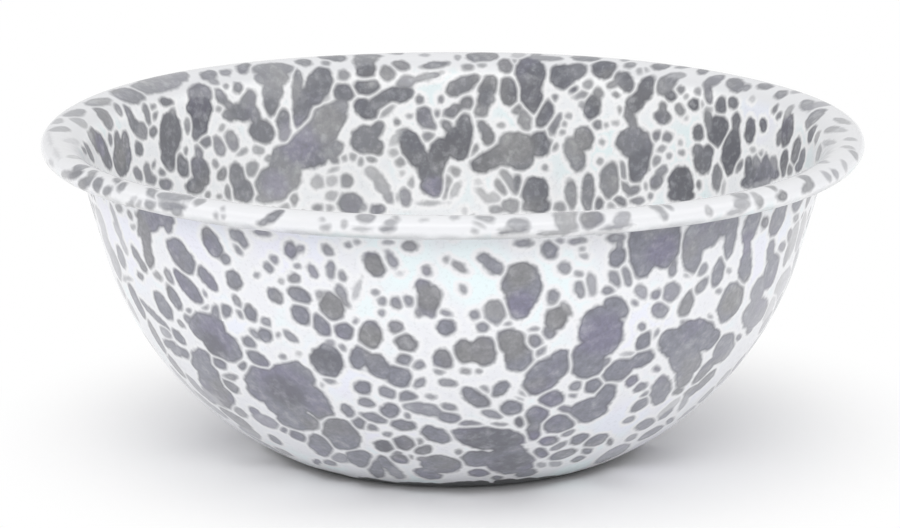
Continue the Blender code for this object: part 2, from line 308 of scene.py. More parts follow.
DROPS_INSIDE_MIDDLE = (
    (365, 61, 24, 13, 0, 0.82), (366, 69, 21, 19, 0), (388, 73, 17, 16, 0, 0.86), (367, 87, 26, 16, 0),
    (401, 65, 18, 10, 6, 0.95), (361, 106, 17, 16, 0), (368, 111, 22, 18, 0), (399, 94, 27, 17, -5),
    (384, 98, 28, 15, -22), (435, 65, 27, 7, -8), (406, 82, 20, 14, -20, 0.82), (426, 77, 34, 7, -13, 0.95),
    (420, 100, 8, 9, 0), (441, 99, 6, 8, 0), (410, 116, 6, 5, 0, 0.85), (397, 122, 6, 7, 0),
    (387, 111, 20, 7, -42, 0.85), (460, 87, 30, 18, -20, 0.95), (473, 80, 18, 11, -10, 1.1),
    (488, 87, 24, 19, -70), (484, 100, 18, 15, 90), (481, 111, 17, 14, 90, 0.93), (491, 100, 8, 8, 0),
    (425, 117, 22, 19, 70, 0.95), (428, 124, 18, 12, 30, 0.95), (437, 114, 8, 7, 60),
    (428, 136, 12, 10, -20, 0.92), (364, 139, 28, 25, -40, 0.9), (368, 144, 30, 21, 12, 0.92),
    (376, 130, 20, 13, -60), (375, 147, 18, 14, 50), (402, 131, 10, 5, -20, 0.72),
    (395, 140, 20, 7, -60, 0.65), (393, 152, 11, 8, 40, 0.7), (413, 149, 46, 24, 62),
    (430, 172, 28, 23, 60), (467, 103, 15, 14, -30), (455, 111, 26, 13, -22), (465, 127, 34, 16, 80),
    (458, 144, 34, 27, 75), (447, 126, 16, 10, 65), (440, 151, 28, 21, 100), (437, 163, 24, 17, 95),
    (433, 185, 25, 25, 0), (432, 203, 24, 4, -3, 0.8), (446, 191, 18, 5, -75, 1.05),
    (401, 162, 10, 10, 0, 0.85), (353, 157, 8, 8, 0, 0.78), (361, 161, 6, 7, 0, 0.88),
    (371, 159, 10, 7, 20), (372, 173, 16, 12, 60, 0.65), (381, 184, 22, 13, 58, 0.75),
    (389, 197, 14, 10, 50, 0.88), (405, 197, 19, 12, 85, 0.9), (411, 182, 6, 10, 0, 0.8),
    (377, 209, 16, 12, -8), (397, 198, 6, 7, 0, 0.72), (402, 173, 5, 5, 0, 0.6), (364, 207, 8, 7, 0, 0.85),
    (454, 172, 12, 10, 10, 0.85), (448, 181, 18, 7, -75, 0.95), (455, 190, 18, 8, -60, 0.65),
    (484, 162, 29, 20, -25), (474, 150, 13, 6, -60), (483, 126, 18, 10, 65), (488, 136, 22, 13, 75),
    (481, 192, 15, 7, 55, 0.72), (488, 199, 13, 7, 20, 0.72), (478, 183, 6, 7, 0, 0.5),
    (494, 198, 12, 12, 0, 0.62), (506, 65, 15, 15, 0, 0.92), (509, 91, 31, 19, 80), (530, 74, 38, 31, 80),
    (531, 98, 30, 22, 80, 1.1), (525, 119, 24, 13, 85, 0.9), (518, 109, 13, 9, -40),
    (545, 115, 31, 15, -70), (555, 98, 6, 7, 0), (554, 127, 28, 9, -62), (540, 144, 26, 24, -50),
    (520, 151, 40, 31, 80, 0.95), (501, 156, 36, 26, -8, 0.95), (507, 140, 18, 14, -30, 0.9),
    (562, 76, 25, 26, 0), (575, 71, 26, 17, -18, 0.92), (604, 69, 25, 19, 0), (588, 85, 11, 9, -50, 0.85),
    (574, 90, 9, 9, 0, 1.14), (581, 95, 15, 9, -10, 0.88), (592, 107, 27, 17, -80),
    (598, 93, 11, 11, 90, 0.9), (582, 104, 9, 5, 80, 0.85), (583, 139, 26, 21, 90, 0.93),
    (572, 150, 26, 16, 80, 0.82), (579, 160, 24, 15, 95, 0.9), (598, 125, 10, 10, -40),
    (606, 125, 5, 5, 0, 0.85), (615, 123, 6, 5, 0, 0.75), (602, 142, 5, 5, 0, 0.85),
    (600, 161, 6, 7, 0, 0.85), (568, 116, 6, 5, 0, 0.85), (564, 124, 5, 5, 0, 0.9),
    (562, 132, 6, 5, 0, 0.85), (555, 147, 8, 5, -60), (545, 168, 6, 7, 0, 0.88), (501, 125, 9, 5, 0, 0.85),
    (535, 192, 31, 29, 90), (537, 205, 27, 17, 0), (571, 194, 32, 12, 88, 0.88),
    (588, 192, 38, 13, 92, 0.95), (610, 181, 38, 20, 92, 0.9), (599, 203, 14, 9, 90, 1.1),
    (501, 187, 18, 10, 60, 0.92), (508, 180, 28, 10, 60, 0.85), (517, 184, 19, 9, 95, 1.12),
    (510, 206, 19, 15, 0, 0.85), (495, 208, 11, 7, 0, 0.9), (560, 207, 14, 10, 0, 0.85),
)
DROPS_INSIDE_RIGHT = (
    (620, 80, 18, 12, 60), (627, 83, 24, 14, 75), (612, 85, 12, 8, -20), (616, 95, 8, 6, 40),
    (620, 110, 6, 4, 90), (646, 89, 28, 17, -65), (636, 101, 26, 17, -60), (629, 114, 18, 10, 80),
    (633, 123, 16, 8, 90), (640, 71, 7, 6, 0, 0.7), (646, 70, 5, 5, 0, 0.7), (667, 84, 26, 17, -45, 0.88),
    (671, 95, 13, 12, 0, 1.12), (680, 90, 10, 9, 0), (676, 76, 20, 7, -8, 0.75), (686, 96, 5, 5, 0, 0.85),
    (698, 92, 7, 7, 0, 0.92), (694, 104, 12, 12, 0, 1.12), (680, 110, 13, 8, 60, 0.95),
    (686, 118, 5, 4, 90, 0.6), (702, 104, 6, 4, 80, 0.75), (663, 117, 17, 14, 0), (663, 108, 14, 8, 90),
    (635, 143, 36, 32, 0, 0.95), (640, 156, 42, 23, 95), (636, 172, 24, 15, 88), (656, 136, 13, 9, -60),
    (667, 137, 11, 10, -20, 0.95), (661, 149, 10, 6, -40, 0.85), (669, 156, 6, 6, 0, 0.85),
    (680, 142, 6, 4, 70, 0.7), (682, 153, 6, 5, 0, 0.9), (656, 161, 11, 9, -60, 0.85),
    (662, 171, 13, 9, -50, 0.9), (656, 182, 18, 11, -60, 0.95), (681, 182, 32, 24, 90),
    (681, 194, 26, 14, 0, 1.12), (646, 186, 7, 4, 80, 0.85), (650, 196, 6, 5, 90), (637, 201, 14, 8, 0),
    (626, 187, 18, 8, 60), (634, 190, 15, 10, -45), (623, 172, 20, 7, 80, 0.95),
    (620, 201, 14, 9, 30, 1.12), (612, 205, 8, 6, 0, 0.85), (699, 133, 16, 11, 88),
    (698, 151, 14, 11, 90, 0.95), (708, 151, 14, 11, 90), (703, 161, 26, 18, 95, 0.95),
    (699, 185, 8, 5, 80), (708, 92, 24, 9, 85), (714, 80, 22, 9, -22, 0.82), (708, 84, 12, 7, -60, 0.8),
    (721, 106, 20, 12, 95), (733, 103, 14, 10, 90), (709, 109, 7, 5, 0, 0.75), (709, 122, 26, 9, 80, 0.95),
    (718, 130, 34, 20, 100), (736, 121, 18, 9, 95), (735, 135, 18, 10, 95), (731, 152, 46, 18, 97),
    (739, 166, 13, 7, -60), (717, 178, 28, 10, 90, 0.9), (750, 131, 27, 10, 92),
    (763, 125, 15, 7, 90, 1.12), (764, 172, 30, 20, -15, 0.96), (752, 180, 22, 13, -25),
    (760, 183, 28, 8, -17, 0.85), (773, 173, 14, 12, 0, 1.12), (749, 168, 22, 9, 88),
    (757, 165, 20, 9, 88, 0.85), (766, 163, 20, 9, 88, 0.93), (774, 165, 20, 8, 85, 0.78),
    (761, 154, 6, 5, 90, 0.9), (753, 150, 6, 5, 90, 0.7), (787, 130, 34, 12, -80),
    (788, 113, 18, 6, -65, 0.75), (779, 137, 17, 5, -80), (775, 109, 10, 5, -60), (779, 116, 8, 5, -60),
    (784, 163, 28, 8, -84), (796, 152, 30, 8, -80), (802, 158, 20, 6, -82, 0.95),
    (790, 169, 12, 6, -80, 0.9), (799, 166, 12, 7, -70), (811, 134, 18, 6, -72),
    (817, 137, 14, 4, -72, 0.75), (723, 188, 14, 4, 95, 0.6), (752, 99, 5, 5, 0, 0.5),
    (681, 187, 26, 16, 0), (527, 207, 12, 10, 0), (498, 210, 18, 7, -5, 0.9), (673, 196, 10, 9, 0, 1.12),
    (689, 196, 10, 9, 0, 1.1),
)
DROPS_RIM = (
    (98, 102, 28, 8, -6, 0.85), (128, 94, 36, 14, 10, 0.95), (160, 81, 58, 22, -14, 0.88),
    (209, 75, 17, 10, 0, 0.95), (214, 82, 11, 5, 20), (75, 113, 22, 7, -8, 0.8), (60, 129, 22, 5, 0, 0.75),
    (58, 121, 12, 5, -15, 0.6), (80, 122, 20, 7, 30, 0.65), (66, 174, 12, 7, -30, 0.8),
    (74, 174, 16, 8, -25, 1.12), (80, 167, 18, 6, -20, 0.95), (84, 183, 16, 10, -50), (97, 184, 15, 9, -75),
    (92, 173, 12, 6, -50, 0.95), (107, 191, 12, 8, -45), (118, 180, 8, 5, 10, 0.95), (122, 185, 12, 7, -40),
    (51, 163, 8, 3, 60, 0.6), (75, 157, 14, 5, 15, 0.55), (72, 141, 16, 5, 10, 0.3),
    (175, 196, 42, 7, 3, 0.85), (150, 204, 12, 10, 0, 0.98), (160, 204, 6, 6, 0, 0.85),
    (172, 206, 26, 10, 8, 1.1), (177, 212, 9, 9, 40, 0.85), (200, 201, 13, 6, -15, 0.85),
    (152, 192, 12, 10, 60), (216, 216, 5, 6, 0, 0.84), (223, 209, 4, 5, 0, 0.79), (223, 217, 4, 5, 0, 0.79),
    (284, 208, 14, 8, -35, 0.9), (274, 216, 20, 9, -35, 1.2), (264, 222, 14, 6, -20, 1.15),
    (138, 204, 7, 5, -45, 0.85), (366, 217, 19, 10, 0, 0.84), (391, 223, 13, 8, -20, 0.84),
    (387, 229, 14, 6, -5, 1.1), (362, 229, 17, 3, 0, 0.79), (344, 224, 6, 7, 0, 0.79),
    (325, 227, 9, 6, 0, 0.84), (323, 220, 5, 5, 0, 0.71), (396, 218, 6, 6, 0, 0.71),
    (424, 220, 7, 3, 0, 0.55), (465, 211, 7, 5, 80, 0.55), (455, 217, 9, 5, 0, 0.63),
    (475, 231, 7, 5, 0, 0.79), (484, 218, 20, 6, 5, 0.84), (479, 224, 11, 5, 25, 0.79),
    (519, 224, 22, 13, 0, 0.84), (566, 215, 22, 20, 25, 0.79), (570, 224, 20, 12, 20, 0.92),
    (590, 219, 26, 18, -10, 1.0), (622, 218, 19, 13, -30, 0.75), (656, 207, 15, 5, 25, 0.79),
    (664, 215, 11, 6, 60, 0.9), (667, 206, 13, 3, 15, 0.84), (709, 211, 9, 6, 60, 0.79),
    (742, 204, 17, 12, -10, 0.79), (740, 195, 19, 6, 8, 0.79), (735, 212, 15, 5, -15, 0.79),
    (760, 202, 12, 7, 80), (756, 197, 13, 5, 60, 0.71), (782, 196, 11, 11, 0, 1.2), (772, 187, 15, 3, 15),
    (806, 178, 17, 6, 25, 0.9), (808, 187, 15, 9, -40), (814, 117, 27, 9, -42), (808, 105, 15, 12, 0, 0.9),
    (821, 104, 24, 5, -5, 0.75), (832, 129, 15, 5, -15, 0.85), (828, 143, 13, 5, -10, 0.65),
    (819, 153, 18, 7, -75, 0.7), (822, 162, 10, 5, 0, 0.65), (836, 174, 13, 5, 60, 0.8),
    (828, 176, 13, 5, 50, 0.7), (842, 121, 17, 5, 15, 0.75), (855, 154, 14, 5, 55, 0.75),
    (848, 147, 15, 3, 10, 0.65), (850, 139, 11, 3, 0, 0.65), (781, 94, 15, 7, -20),
    (795, 92, 11, 3, 0, 0.75), (765, 86, 16, 6, 0), (736, 84, 17, 14, 0), (746, 87, 10, 6, -20),
    (661, 66, 20, 6, -3), (683, 67, 15, 3, 0, 0.95), (703, 71, 11, 5, -5), (304, 62, 17, 6, 5),
    (326, 63, 8, 5, 0), (333, 57, 29, 6, 3), (368, 56, 27, 6, 0), (395, 53, 18, 3, 2, 0.95),
    (425, 55, 10, 3, 0, 0.75), (457, 57, 6, 5, 0, 0.85), (482, 56, 34, 12, 0), (468, 67, 14, 7, 0),
    (482, 65, 9, 5, 0), (519, 55, 14, 7, 0, 0.55), (536, 55, 12, 6, -20, 0.85), (547, 58, 32, 5, 3, 0.95),
    (586, 58, 28, 7, 2), (625, 60, 9, 3, 0, 0.85), (630, 65, 11, 6, -10), (244, 67, 15, 9, -20),
    (226, 72, 11, 7, 0, 0.95), (515, 61, 7, 5, 0, 0.95), (130, 206, 10, 6, -20, 0.7),
    (50, 140, 16, 3, 75, 0.4), (56, 152, 14, 4, 60, 0.4), (840, 130, 14, 4, 0, 0.6),
    (845, 165, 12, 4, 70, 0.6), (514, 231, 32, 5, -8, 1.2), (556, 233, 38, 4, -4, 0.9),
    (616, 227, 28, 4, -10, 1.05),
)

# The lists of drops, each with the share of grey on its part of the bowl
HAND_READ = (
    (DROPS_LEFT, 0.98),
    (DROPS_FRONT_LEFT, 1.0),
    (DROPS_FRONT_MIDDLE, 1.0),
    (DROPS_FRONT_RIGHT, 1.0),
    (DROPS_RIGHT, 0.92),
    (DROPS_INSIDE_LEFT, 0.95),
    (DROPS_INSIDE_MIDDLE, 1.0),
    (DROPS_INSIDE_RIGHT, 1.0),
    (DROPS_RIM, 0.86),
)

# Places on the photo, with a radius in pixels, where the enamel has a tint: its own in the purple, warm and
# cyan places, painted shade in the lavender places, and partly painted shade in the dark places
PURPLE_PLACES = (
    (602, 333, 26), (278, 382, 30), (216, 336, 24), (536, 440, 20), (298, 140, 26), (662, 250, 20),
    (745, 245, 16), (434, 188, 14), (786, 128, 14), (100, 145, 14), (199, 108, 14), (275, 185, 18),
    (520, 304, 16),
)
WARM_PLACES = (
    (328, 122, 22), (518, 145, 24), (575, 214, 14), (370, 336, 16), (475, 352, 24), (512, 345, 22),
    (731, 300, 18), (580, 142, 18), (332, 306, 18), (120, 156, 14), (520, 272, 18), (430, 298, 18),
    (375, 265, 14), (558, 315, 18),
)
# Darker drops, partly their own tone and partly painted shade low on the front near the foot
DARK_AND_SHADE_PLACES = (
    (490, 441, 34), (510, 463, 24), (681, 186, 18), (327, 361, 20), (285, 392, 26), (200, 105, 13),
    (640, 100, 30), (690, 108, 40), (690, 180, 34), (730, 140, 40), (785, 140, 30), (530, 95, 28),
    (455, 145, 30), (384, 446, 24), (520, 422, 14), (170, 140, 30), (199, 112, 18), (213, 346, 20),
)
CYAN_PLACES = (
    (440, 85, 40), (520, 115, 30), (600, 150, 40), (690, 150, 40), (400, 255, 40), (470, 270, 40),
    (560, 280, 40), (690, 200, 30), (575, 468, 26), (330, 465, 20), (430, 476, 16), (420, 135, 24),
)
# Lavender painted shade, under the rim, along the edges and near the foot
SHADE_LAVENDER_PLACES = (
    (120, 240, 60), (190, 225, 50), (290, 240, 50), (340, 370, 40), (230, 330, 40), (770, 250, 50),
    (640, 330, 40), (760, 110, 40), (90, 170, 40), (400, 440, 40), (622, 420, 36), (650, 440, 30),
    (690, 390, 40),
)

# Shares of a place's radius where its effect is full and where it ends
PLACE_CORE = 0.5
PLACE_EDGE = 1.2

# The dark line along the foot, the dark ground coat where the white ends and painted contact shadow: its
# height and waves, the places on the photo where it is higher, and its ring
FOOT_LINE = 0.1 * MM
FOOT_WAVE = 3.2 * MM
FOOT_WAVE_SIZE = 6 * MM
FOOT_SOFTNESS = 0.15 * MM
FOOT_PLACES = ((465, 481, 26), (505, 480, 12))
FOOT_RISE = 0.8 * MM
FOOT_RING = (BASE_DIAMETER / 2 - 2 * MM, BASE_DIAMETER / 2 - 1 * MM)

# Painted shade in dark streaks under the rolled rim: their size, the slope at which they start and are full,
# and their shares
ROLL_SHADE_STREAK_SIZE = 7 * MM
ROLL_SHADE_SLOPES = (-0.10, -0.80)
ROLL_SHADE_SHARES = (0.3, 0.6, 0.10, 0.36)

# Colours of the enamel, those that differ between its two faces with shares of purple and of mottling. Its
# whites and halos are lit and shaded copies of one white: painted light brightens the inside, painted shade
# dims the outside.
Look = namedtuple("Look", "white halo grey purple mottling")
OUTSIDE = Look(
    # Whites dimmed as painted shade, against the stronger light on the outside
    white=(0.840, 0.848, 0.880, 1.0),
    halo=(0.880, 0.884, 0.898, 1.0),
    grey=(0.250, 0.256, 0.302, 1.0),
    purple=0.6,
    mottling=0.15,
)
INSIDE = Look(
    # Whites brightened as painted light, against the shade inside the bowl
    white=(0.930, 0.945, 0.960, 1.0),
    halo=(0.988, 0.990, 0.994, 1.0),
    grey=(0.170, 0.176, 0.203, 1.0),
    purple=0.3,
    mottling=0.27,
)
WHITE_CYAN = (0.820, 0.940, 0.950, 1.0)
# Lavender of the painted shade on the white
WHITE_SHADE_LAVENDER = (0.840, 0.842, 0.945, 1.0)
# Painted shade: the white of the rolled rim, dimmed because the rim's top gets the most light
WHITE_ROLL_SHADED = (0.780, 0.785, 0.805, 1.0)
GREY_PURPLE = (0.225, 0.216, 0.300, 1.0)
GREY_WARM = (0.262, 0.262, 0.264, 1.0)
GREY_DARK = (0.128, 0.131, 0.152, 1.0)
OUTLINE = (0.120, 0.120, 0.135, 1.0)
# Colour of the painted shade under the rolled rim, and of the dark line at the foot, which is ground coat and
# painted contact shadow
DARK_GROUND_AND_SHADE = (0.055, 0.057, 0.066, 1.0)

# Tints with their strength and places
GREY_TINTS = ((GREY_PURPLE, 0.9, PURPLE_PLACES), (GREY_WARM, 0.8, WARM_PLACES), (GREY_DARK, 0.7, DARK_AND_SHADE_PLACES))
WHITE_TINTS = ((WHITE_CYAN, 0.7, CYAN_PLACES), (WHITE_SHADE_LAVENDER, 0.7, SHADE_LAVENDER_PLACES))

# Sizes of the noises in the enamel, their detail where it is not the usual, and the shift of the drops' edges
WOBBLE_SIZE = 3.6 * MM
WOBBLE_DETAIL = 0.6
WOBBLE = (0.40, 0.40, 0.0)
RAGGED_SIZE = 1.5 * MM
RAGGED_DETAIL = 1.0
CLOUD_SIZE = 11 * MM
SWIRL_SIZE = 2.4 * MM
SWIRL_DETAIL = 3.0
MOTTLE_SIZE = 1.5 * MM
GRAIN_SIZE = 0.7 * MM
DIMPLE_SIZE = 6 * MM
DIMPLE_DETAIL = 1.0

# Layers of colour: where a noise, or the depth in mm, starts and fully shows one, and in most its share
GREY_CLOUDS = (0.50, 0.64)
WARM_SHARE = 0.6
PALE_SWIRLS = (0.50, 0.75, 0.18)
DARK_SWIRLS = (0.46, 0.28, 0.20)
PALE_MOTTLES = (0.50, 0.66)
PALE_SHARE = 0.3
DARK_MOTTLES = (0.50, 0.34)
DARK_EDGES = (0.85, 0.35, 0.36)
DARK_GRAINS = (0.35, 0.70, 0.20)
CYAN_CLOUDS = (0.50, 0.66, 0.6)
HALO_DEPTHS = (-0.4, -1.4)
GREY_GRAINS = (0.52, 0.70, 0.09)
# Heights over which painted shade dulls the white of the rolled rim
ROLL_SHADE_HEIGHTS = (HEIGHT - ROLL_HEIGHT, HEIGHT - 0.4 * ROLL_HEIGHT)

# Gloss and relief of the enamel: roughness over the swirls, and a bump of dimples and raised drops
ENAMEL_GLOSS = (0.3, 0.7, 0.14, 0.22)
BUMP_STRENGTH = 0.35
BUMP_HEIGHT = 0.06 * MM
DROP_RELIEF = 0.5

# Hidden layers: colours, grain and roughness over the grain
STEEL_DARK = (0.34, 0.34, 0.35, 1.0)
STEEL_PALE = (0.50, 0.50, 0.51, 1.0)
STEEL_GRAIN = 4 * MM
STEEL_DETAIL = 4.0
STEEL_GLOSS = (0.2, 0.8, 0.36, 0.55)
GROUND_DARK = (0.02, 0.024, 0.045, 1.0)
GROUND_PALE = (0.045, 0.05, 0.08, 1.0)
GROUND_GRAIN = 0.8 * MM
GROUND_GLOSS = (0.3, 0.7, 0.25, 0.45)

# Floor: its size, its colour, and where it fades to the white of the background
FLOOR_SIZE = 6.0
FLOOR_COLOUR = (0.93, 0.93, 0.94, 1.0)
SHADOW_MIDDLE = (4 * MM, 9 * MM, 0.0)
SHADOW_START = 40 * MM
SHADOW_END = 96 * MM

# Light: strength from all round, and softboxes with place, width, depth in metres and power in watts
WORLD_LIGHT = 0.97
SOFTBOX_AIM = Vector((0.0, 0.0, 30 * MM))
SOFTBOXES = (
    ("high_softbox", (0.0, -1.1, 0.80), 1.4, 0.6, 4.0),
    ("front_softbox", (-0.3, -1.4, 0.45), 1.8, 0.8, 0.8),
    ("left_softbox", (-1.3, -0.3, 0.80), 1.4, 0.8, 3.7),
    ("right_softbox", (1.3, -0.3, 0.80), 1.4, 0.8, 3.7),
)


def on_arc(centre, radius, heading):
    """A station on an arc that turns towards the inside of the bowl, or outwards by a negative radius."""
    return (centre[0] + radius * math.sin(heading), centre[1] - radius * math.cos(heading), heading)


def headings(first, last, radius, spacing, least=2):
    """Headings along an arc at about the given spacing, without the first."""
    facets = max(least, math.ceil(radius * abs(last - first) / spacing))
    return [first + (last - first) * i / facets for i in range(1, facets + 1)]


def straight(first, last, heading, spacing):
    """Stations along a straight stretch at about the given spacing, without the first."""
    facets = max(1, math.ceil(math.dist(first, last) / spacing))
    stations = []
    for i in range(1, facets + 1):
        share = i / facets
        r = first[0] + (last[0] - first[0]) * share
        z = first[1] + (last[1] - first[1]) * share
        stations.append((r, z, heading))
    return stations


def centre_line(spacing):
    """Stations (radius, height, heading) along the middle of the sheet, from the axis to the tucked edge."""
    lean = math.pi / 2 - WALL_LEAN
    roll_centre = (RIM_DIAMETER / 2 - ROLL_HEIGHT / 2, HEIGHT - ROLL_HEIGHT / 2)
    roll_radius = ROLL_HEIGHT / 2 - COVER_HIGH
    neck_r = RIM_DIAMETER / 2 - RIM_OVERHANG - COVER_HIGH * math.sin(lean)
    neck_radius = (roll_centre[0] - neck_r) / math.sin(lean)
    neck_centre = (roll_centre[0], HEIGHT - COVER_HIGH - neck_radius)
    neck = (neck_r, neck_centre[1] + neck_radius * math.cos(lean))
    shoulder = (neck[0] - WALL_STRAIGHT * math.cos(lean), neck[1] - WALL_STRAIGHT * math.sin(lean))

    corner_centre = (BASE_DIAMETER / 2, BASE_CORNER_RADIUS)
    corner_radius = BASE_CORNER_RADIUS - COVER_HIGH
    across = shoulder[0] - corner_centre[0]
    up = shoulder[1] - corner_centre[1]
    inward = -math.sin(lean) * across + math.cos(lean) * up
    wall_radius = (corner_radius**2 - across**2 - up**2) / (2 * (inward + corner_radius))
    wall_centre = (shoulder[0] - wall_radius * math.sin(lean), shoulder[1] + wall_radius * math.cos(lean))
    foot = math.atan2(corner_centre[0] - wall_centre[0], wall_centre[1] - corner_centre[1])

    corner = headings(0.0, foot, corner_radius, spacing, CORNER_FACETS)
    wall = headings(foot, lean, wall_radius, spacing)
    flare = headings(lean, 0.0, neck_radius, spacing, NECK_FACETS)
    roll = headings(0.0, -ROLL_TURN, roll_radius, spacing, ROLL_FACETS)
    stations = [(0.0, COVER_HIGH, 0.0)]
    stations += straight((0.0, COVER_HIGH), (corner_centre[0], COVER_HIGH), 0.0, spacing)
    stations += [on_arc(corner_centre, corner_radius, heading) for heading in corner]
    stations += [on_arc(wall_centre, wall_radius, heading) for heading in wall]
    stations += straight(shoulder, neck, lean, spacing)
    stations += [on_arc(neck_centre, -neck_radius, heading) for heading in flare]
    stations += [on_arc(roll_centre, -roll_radius, heading) for heading in roll]
    return stations


def face(stations, distance):
    """The centre line moved sideways by a distance, towards the inside of the bowl where it is positive."""
    return [(r - distance * math.sin(h), z + distance * math.cos(h)) for r, z, h in stations]


def edge_cap(stations, distance):
    """A round cap over the tucked edge of the sheet, from its inside face to its outside face."""
    r, z, heading = stations[-1]
    points = []
    for i in range(1, CAP_FACETS + 1):
        turn = heading + math.pi / 2 - CAP_TURN * i / CAP_FACETS
        points.append((r + distance * math.cos(turn), z + distance * math.sin(turn)))
    return points


def uneven(points):
    """The small unevenness of a hand-made bowl: the rim waves and the wall is not quite round."""
    angle = np.arctan2(points[:, 1], points[:, 0])
    share = np.clip(points[:, 2] / HEIGHT, 0.0, 1.0) ** 2
    wide = 1.0 + share * OVAL_WAVE / (RIM_DIAMETER / 2) * np.cos(2 * angle + OVAL_PHASE)
    wave = sum(part * (np.sin(count * angle + phase) - 1.0) for count, part, phase in RIM_WAVES)
    high = share * RIM_WAVE * wave
    return np.column_stack((points[:, 0] * wide, points[:, 1] * wide, points[:, 2] + high))


def turned(name, profile, steps):
    """A closed mesh turned about Z from a profile that starts and ends on the axis."""
    angles = np.arange(steps) * math.tau / steps
    rings = []
    points = []
    count = 0
    for r, z in profile:
        if r < TINY:
            rings.append(np.full(steps, count))
            points.append(np.array([[0.0, 0.0, z]]))
            count += 1
        else:
            rings.append(count + np.arange(steps))
            points.append(np.column_stack((r * np.cos(angles), r * np.sin(angles), np.full(steps, z))))
            count += steps
    faces = []
    for first, second in zip(rings[:-1], rings[1:]):
        for i, j in zip(range(steps), np.roll(range(steps), -1)):
            corners = (first[i], second[i], second[j], first[j])
            faces.append(tuple(dict.fromkeys(int(corner) for corner in corners)))
    mesh = bpy.data.meshes.new(name)
    mesh.from_pydata(uneven(np.concatenate(points)).tolist(), [], faces)
    mesh.shade_smooth()
    piece = bpy.data.objects.new(name, mesh)
    bpy.context.scene.collection.objects.link(piece)
    return piece


def add_piece(name, profile, steps, node):
    """A turned piece that rides the bowl in the place of a CAD node."""
    piece = turned(name, profile, steps)
    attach(piece, "root")
    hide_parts(node)
    return piece


# Shapes: every layer again, turned smoothly
fine_line = centre_line(FINE_SPACING)
hidden_line = centre_line(HIDDEN_SPACING)
inside_profile = face(fine_line, COVER_HIGH) + edge_cap(hidden_line, COVER_HIGH)
inside_profile += edge_cap(hidden_line, COVER_LOW)[::-1] + face(hidden_line, COVER_LOW)[::-1]
outside_profile = face(hidden_line, -COVER_LOW) + face(fine_line, -COVER_HIGH)[::-1]
inside_enamel = add_piece(
    "splatter_enamel_inside", inside_profile, FINE_STEPS, "cover_coat_inside"
)
outside_enamel = add_piece(
    "splatter_enamel_outside", outside_profile, FINE_STEPS, "cover_coat_outside"
)
hidden_layers = []
for layer_name, low, high, node, slot in (
    ("steel_sheet", -SHEET_FACE, SHEET_FACE, "steel_shell", "pressed_steel"),
    ("ground_enamel_inside", GROUND_LOW, GROUND_HIGH, "ground_coat_inside", "ground_enamel"),
    ("ground_enamel_outside", -GROUND_HIGH, -GROUND_LOW, "ground_coat_outside", "ground_enamel"),
):
    layer_profile = face(hidden_line, high) + face(hidden_line, low)[::-1]
    hidden_layers.append(add_piece(layer_name, layer_profile, HIDDEN_STEPS, node))


class Drop:
    """A drop of grey enamel: an ellipse on the surface, with its two half axes and its tone."""

    def __init__(self, piece, centre, normal, long_axis, short_axis, tone):
        self.piece = piece
        self.centre = np.array(centre)
        self.normal = np.array(normal)
        self.axes = np.array((long_axis, short_axis))
        self.inverse = np.linalg.solve(self.axes @ self.axes.T, self.axes)
        self.reach = max(np.linalg.norm(axis) for axis in self.axes)
        self.tone = tone


def photo_ray(x, y):
    """The direction from the camera through a pixel of the photo."""
    across = (x - PHOTO_WIDTH / 2) / FOCAL_PIXELS
    down = (y - PHOTO_HEIGHT / 2) / FOCAL_PIXELS
    return (CAMERA_FORWARD + across * CAMERA_RIGHT - down * CAMERA_UP).normalized()


def bowl_tree(pieces):
    """A search tree over the pieces, and the piece of each face in it."""
    points = []
    faces = []
    owners = []
    for piece in pieces:
        start = len(points)
        points += [vertex.co for vertex in piece.data.vertices]
        faces += [[start + i for i in polygon.vertices] for polygon in piece.data.polygons]
        owners += [piece] * len(piece.data.polygons)
    return BVHTree.FromPolygons(points, faces), owners


tree, owners = bowl_tree((inside_enamel, outside_enamel))


def hit(x, y):
    """The piece, place and normal of the bowl under a pixel of the photo, or None."""
    place, normal, index, _ = tree.ray_cast(CAMERA_PLACE, photo_ray(x, y))
    if place is None:
        return None
    return owners[index], place, normal


def photo_axis(x, y, across, down, middle):
    """The half axis on the surface of an ellipse whose half axis on the photo is given."""
    piece, centre, normal = middle
    flat = (across * CAMERA_RIGHT - down * CAMERA_UP) * CAMERA_DISTANCE / FOCAL_PIXELS
    facing = min(CAMERA_FORWARD.dot(normal), -1.0 / MOST_SLANT)
    slanted = flat - flat.dot(normal) / facing * CAMERA_FORWARD
    slanted -= slanted.dot(normal) * normal
    ends = []
    for sign in (1, -1):
        end = hit(x + sign * AXIS_SHARE * across, y + sign * AXIS_SHARE * down)
        if end is not None and end[0] == piece:
            axis = (end[1] - centre) * sign / AXIS_SHARE
            if axis.length < MOST_BEND * slanted.length:
                ends.append(axis)
    if len(ends) < 2:
        return slanted
    axis = (ends[0] + ends[1]) / 2
    chord = axis.length
    axis -= axis.dot(normal) * normal
    return axis.normalized() * chord


def photo_drop(list_tone, x, y, length, width, tilt, tone=1.0):
    """A drop whose outline on the photo is an ellipse, or None beside the bowl."""
    middle = hit(x, y)
    if middle is None:
        return None
    turn = math.radians(tilt)
    long_axis = photo_axis(x, y, length / 2 * math.cos(turn), length / 2 * math.sin(turn), middle)
    short_axis = photo_axis(x, y, -width / 2 * math.sin(turn), width / 2 * math.cos(turn), middle)
    strength = min(1.0, SMALL_DROP_TONE + TONE_PER_WIDTH * 2 * short_axis.length)
    return Drop(*middle, long_axis, short_axis, list_tone * tone * strength)


def seen(place):
    """Whether the camera sees this place of the bowl."""
    way = place - CAMERA_PLACE
    found = tree.ray_cast(CAMERA_PLACE, way.normalized())[0]
    return found is not None and (found - place).length < SIGHT_MARGIN


def out_of_sight(drop):
    """Whether the camera sees neither the middle of a drop nor the surface near the ends of its axes."""
    places = [drop.centre] + [drop.centre + sign * axis for axis in drop.axes for sign in (1, -1)]
    return not any(seen(tree.find_nearest(Vector(place))[0]) for place in places)


